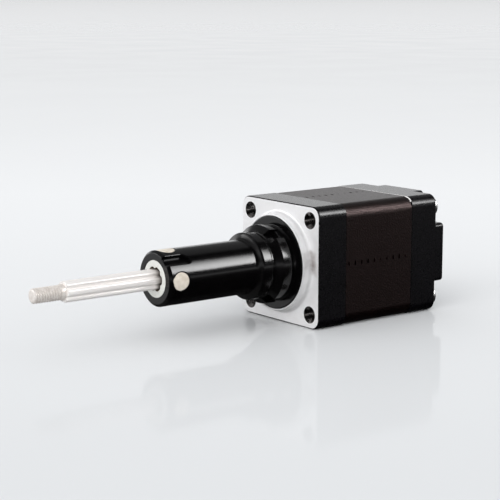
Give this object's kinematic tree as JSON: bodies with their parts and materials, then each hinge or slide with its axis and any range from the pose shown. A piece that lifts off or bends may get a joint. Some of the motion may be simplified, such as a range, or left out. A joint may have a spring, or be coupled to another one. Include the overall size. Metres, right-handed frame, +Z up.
{
  "type": "captive linear stepper motor",
  "caption": "Small square stepper motor whose nut drives a lead screw, pushing a splined rod with a threaded tip straight out of a black guide sleeve.",
  "frame": {"origin": "middle of the box at rest, on the flat side that the motor lies on (Z = 0); the shaft axis is 10 mm up, at X = 0, and the mounting face is at Y = +9.3 mm", "axes": "-Y is where the output rod points and extends, +Y the rear of the motor, +Z up, +X the motor's right side seen from behind"},
  "size_m": [0.02, 0.0744, 0.02],
  "materials": {
    "front_bell": "black coated on the sides, mounting face, pilot boss and thread rims machined bright",
    "rear_bell": "black coated, thin bright line where the front edge is machined",
    "stator_laminations": "black coated lamination stack, faintly speckled",
    "coil_insulation": "moulded insulating frame",
    "terminal_board": "circuit board",
    "grommet_rubber": "soft black rubber",
    "plug_plastic": "fine moulded texture",
    "flange_plastic": "glossy black moulding",
    "sleeve_plastic": "glossy black moulding",
    "bush_acetal": "off-white acetal, satin",
    "nut_acetal": "off-white acetal",
    "bearing_steel": "ground",
    "spring_steel": "rolled strip",
    "rotor_steel": "turned",
    "rotor_laminations": "stamped electrical steel",
    "rotor_magnet": "plated magnet",
    "shaft_steel": "bright, drawn along its length, rolled thread at the tip",
    "screw_steel": "rolled multi-start thread",
    "screw_steel_bright": "zinc plated",
    "collar_brass": "turned",
    "coil_wire": "enamelled copper winding"
  },
  "bodies": {
    "motor": {"front_end_bell": "front_bell", "rear_end_bell": "rear_bell", "stator_stack": "stator_laminations", "front_insulator": "coil_insulation", "rear_insulator": "coil_insulation", "terminal_board": "terminal_board", "lead_grommet": "grommet_rubber", "rear_plug": "plug_plastic", "bayonet_flange": "flange_plastic", "captive_sleeve": "sleeve_plastic", "spline_bush": "bush_acetal", "front_bearing_outer_ring": "bearing_steel", "rear_bearing_outer_ring": "bearing_steel", "wave_spring": "spring_steel", "case_screw_1": "screw_steel_bright", "case_screw_2": "screw_steel_bright", "case_screw_3": "screw_steel_bright", "case_screw_4": "screw_steel_bright", "coil_1": "coil_wire", "coil_2": "coil_wire", "coil_3": "coil_wire", "coil_4": "coil_wire", "coil_5": "coil_wire", "coil_6": "coil_wire", "coil_7": "coil_wire", "coil_8": "coil_wire"},
    "rotor": {"front_bearing_inner_ring": "bearing_steel", "rear_bearing_inner_ring": "bearing_steel", "rotor_sleeve": "rotor_steel", "rotor_nut": "nut_acetal", "rotor_cup_front": "rotor_laminations", "rotor_cup_rear": "rotor_laminations", "rotor_magnet": "rotor_magnet"},
    "shaft": {"spline_shaft": "shaft_steel", "lead_screw": "screw_steel", "stop_collar": "collar_brass", "coupling_pin": "rotor_steel"},
    "front_cage": {"front_bearing_balls": "bearing_steel"},
    "rear_cage": {"rear_bearing_balls": "bearing_steel"}
  },
  "joints": [
    {"name": "rotor_turn", "type": "hinge", "parent": "motor", "child": "rotor", "pos_m": [0, 0.0223, 0.01], "axis": [0, 1, 0], "range_deg": [-1145, 259]},
    {"name": "rod_slide", "type": "slide", "parent": "motor", "child": "shaft", "axis": [0, -1, 0], "range_m": [-0.0155, 0.0035]},
    {"name": "front_cage_turn", "type": "hinge", "parent": "motor", "child": "front_cage", "pos_m": [0, 0.01237, 0.01], "axis": [0, 1, 0], "range_deg": [-490, 111]},
    {"name": "rear_cage_turn", "type": "hinge", "parent": "motor", "child": "rear_cage", "pos_m": [0, 0.03237, 0.01], "axis": [0, 1, 0], "range_deg": [-490, 111]}
  ],
  "couplings": [
    {"joint": "rotor_turn", "follows": "rod_slide", "rad_per_m": 1288.4},
    {"joint": "front_cage_turn", "follows": "rod_slide", "rad_per_m": 550.78},
    {"joint": "rear_cage_turn", "follows": "rod_slide", "rad_per_m": 550.78}
  ]
}
